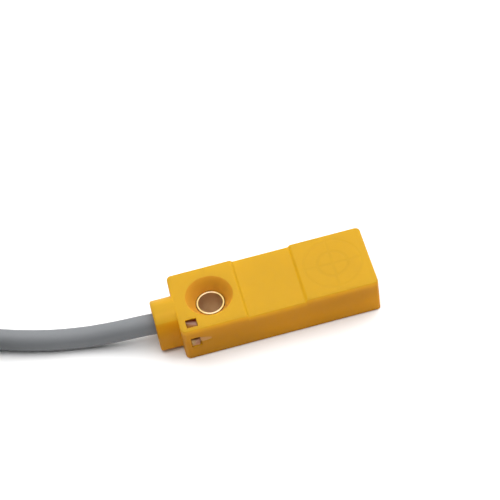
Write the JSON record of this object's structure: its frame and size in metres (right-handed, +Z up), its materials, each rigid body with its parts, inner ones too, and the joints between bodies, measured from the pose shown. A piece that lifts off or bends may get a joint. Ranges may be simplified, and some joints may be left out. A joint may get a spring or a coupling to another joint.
{
  "type": "proximity sensor",
  "caption": "Small block-shaped magnetic proximity sensor with one countersunk bushed screw hole, corner indicator window, round cable collar and wound grey lead.",
  "frame": {"origin": "middle of the underside of the housing with its cable collar, on the surface that the sensor is screwed to", "axes": "+X runs from the cable collar to the sensing end, +Z up through the sensing face, +Y across the width so that the indicator window is on the -Y side"},
  "size_m": [0.0994, 0.0422, 0.0233],
  "materials": {
    "yellow_pbt": "fine satin moulded PBT, golden yellow",
    "brass_bush": "turned, clean",
    "clear_resin": "clear epoxy, slightly pinkish",
    "led_package": "moulded red lens",
    "board": "green solder mask",
    "chip_black": "moulded epoxy",
    "resistor_black": "glazed chip",
    "capacitor_tan": "ceramic",
    "solder": "bright solder",
    "potting_resin": "cast epoxy",
    "cable_jacket": "satin grey PVC",
    "core_brown": "brown PVC insulation",
    "core_blue": "blue PVC insulation",
    "core_black": "black PVC insulation",
    "tie_nylon": "natural nylon",
    "tinned_copper": "tinned copper strands"
  },
  "bodies": {
    "root": {"housing": "yellow_pbt", "mounting_bush": "brass_bush", "light_pipe": "clear_resin", "indicator_led": "led_package", "circuit_board": "board", "hall_sensor_ic": "chip_black", "comparator_ic": "chip_black", "output_transistor": "chip_black", "polarity_diode": "chip_black", "surge_diode": "chip_black", "resistor_1": "resistor_black", "resistor_2": "resistor_black", "resistor_3": "resistor_black", "resistor_4": "resistor_black", "capacitor_1": "capacitor_tan", "capacitor_2": "capacitor_tan", "solder_joint_1": "solder", "solder_joint_2": "solder", "solder_joint_3": "solder", "potting_resin": "potting_resin", "cable_jacket_end": "cable_jacket", "core_brown": "core_brown", "core_blue": "core_blue", "core_black": "core_black", "cable_run": "cable_jacket", "cable_coil": "cable_jacket", "coil_tie_1": "tie_nylon", "coil_tie_2": "tie_nylon", "lead_brown": "core_brown", "lead_blue": "core_blue", "lead_black": "core_black", "lead_tip_brown": "tinned_copper", "lead_tip_blue": "tinned_copper", "lead_tip_black": "tinned_copper"}
  },
  "joints": []
}
